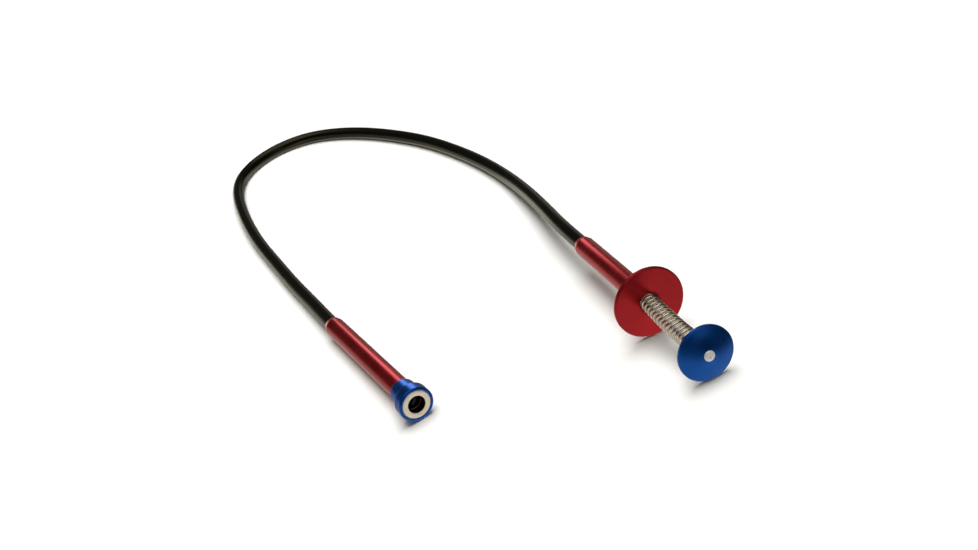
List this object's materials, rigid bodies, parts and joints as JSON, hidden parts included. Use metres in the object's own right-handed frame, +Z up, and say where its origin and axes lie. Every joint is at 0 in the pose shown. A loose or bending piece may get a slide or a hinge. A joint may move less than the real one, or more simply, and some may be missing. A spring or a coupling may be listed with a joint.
{
  "type": "magnetic claw pick-up tool",
  "caption": "Bendable pick-up tool: a sprung thumb button pushes a wire through a flexible shaft and opens hooked claws out of a ring-magnet head.",
  "frame": {"origin": "on the surface the tool lies on, under the middle of the box that holds the handle and the head", "axes": "+Z up off the surface, -Y the way the button and the mouth point, +X from the head towards the handle"},
  "size_m": [0.1775, 0.3331, 0.0254],
  "materials": {
    "red_anodised_aluminium": "satin anodised",
    "blue_anodised_aluminium": "satin anodised",
    "black_vinyl": "semi-gloss, finely ribbed by the coil under it",
    "bright_steel": "bright",
    "nickel_spring": "nickel plated",
    "turned_brass": "turned",
    "nickel_magnet": "satin nickel",
    "black_spring_steel": "black oxide"
  },
  "bodies": {
    "handle_and_shaft": {"handle_barrel": "red_anodised_aluminium", "finger_flange": "red_anodised_aluminium", "spring_seat": "turned_brass", "handle_shaft_anchor": "turned_brass", "flex_shaft_skin": "black_vinyl", "flex_shaft_liner": "bright_steel", "push_wire": "bright_steel", "head_shaft_anchor": "turned_brass", "head_barrel": "red_anodised_aluminium", "head_collar": "blue_anodised_aluminium", "ring_magnet": "nickel_magnet", "magnet_washer": "bright_steel"},
    "spring": {"return_spring": "nickel_spring"},
    "stem": {"button_stem": "bright_steel", "stem_ferrule": "bright_steel"},
    "button": {"thumb_button": "blue_anodised_aluminium", "button_rivet": "bright_steel"},
    "plunger": {"plunger_tube": "bright_steel"},
    "claw_carrier": {"claw_tube": "bright_steel", "claw_ferrule": "bright_steel"},
    "prong_1": {"claw_1": "black_spring_steel"},
    "prong_2": {"claw_2": "black_spring_steel"},
    "prong_3": {"claw_3": "black_spring_steel"},
    "prong_4": {"claw_4": "black_spring_steel"}
  },
  "joints": [
    {"name": "spring_swing", "type": "hinge", "parent": "handle_and_shaft", "child": "spring", "pos_m": [0.0494, -0.0214, 0.01273], "axis": [-0.926, -0.173, -0.3357], "range_deg": [0, 9.06]},
    {"name": "button_press", "type": "slide", "parent": "spring", "child": "stem", "axis": [-0.2233, 0.9677, 0.1172], "range_m": [0, 0.0135], "stiffness_N_per_m": 250, "springref_m": -0.006, "deforming": ["return_spring"]},
    {"name": "button_tilt", "type": "hinge", "parent": "stem", "child": "button", "pos_m": [0.05604, -0.05016, 0.00925], "axis": [0.9419, 0.1832, 0.2816], "range_deg": [0, 13.06]},
    {"name": "plunger_slide", "type": "slide", "parent": "handle_and_shaft", "child": "plunger", "axis": [-0.1726, 0.9845, -0.0314], "range_m": [0, 0.0135]},
    {"name": "claw_slide", "type": "slide", "parent": "handle_and_shaft", "child": "claw_carrier", "axis": [0.3385, -0.9407, 0.0222], "range_m": [0, 0.0135]},
    {"name": "claw_1_open", "type": "hinge", "parent": "claw_carrier", "child": "prong_1", "pos_m": [-0.04022, -0.00519, 0.00692], "axis": [-0.6707, -0.2247, 0.7069], "range_deg": [0, 16.5]},
    {"name": "claw_2_open", "type": "hinge", "parent": "claw_carrier", "child": "prong_2", "pos_m": [-0.04161, -0.0057, 0.00692], "axis": [-0.66, -0.2542, -0.7069], "range_deg": [0, 16.5]},
    {"name": "claw_3_open", "type": "hinge", "parent": "claw_carrier", "child": "prong_3", "pos_m": [-0.0416, -0.00573, 0.00544], "axis": [0.6707, 0.2247, -0.7069], "range_deg": [0, 16.5]},
    {"name": "claw_4_open", "type": "hinge", "parent": "claw_carrier", "child": "prong_4", "pos_m": [-0.0402, -0.00522, 0.00544], "axis": [0.66, 0.2542, 0.7069], "range_deg": [0, 16.5]}
  ],
  "couplings": [
    {"joint": "spring_swing", "follows": "button_press", "rad_per_m": 11.71},
    {"joint": "button_tilt", "follows": "button_press", "rad_per_m": 16.885},
    {"joint": "plunger_slide", "follows": "button_press", "ratio": 1},
    {"joint": "claw_slide", "follows": "button_press", "ratio": 1},
    {"joint": "claw_1_open", "follows": "button_press", "rad_per_m": 21},
    {"joint": "claw_2_open", "follows": "button_press", "rad_per_m": 21},
    {"joint": "claw_3_open", "follows": "button_press", "rad_per_m": 21},
    {"joint": "claw_4_open", "follows": "button_press", "rad_per_m": 21}
  ]
}
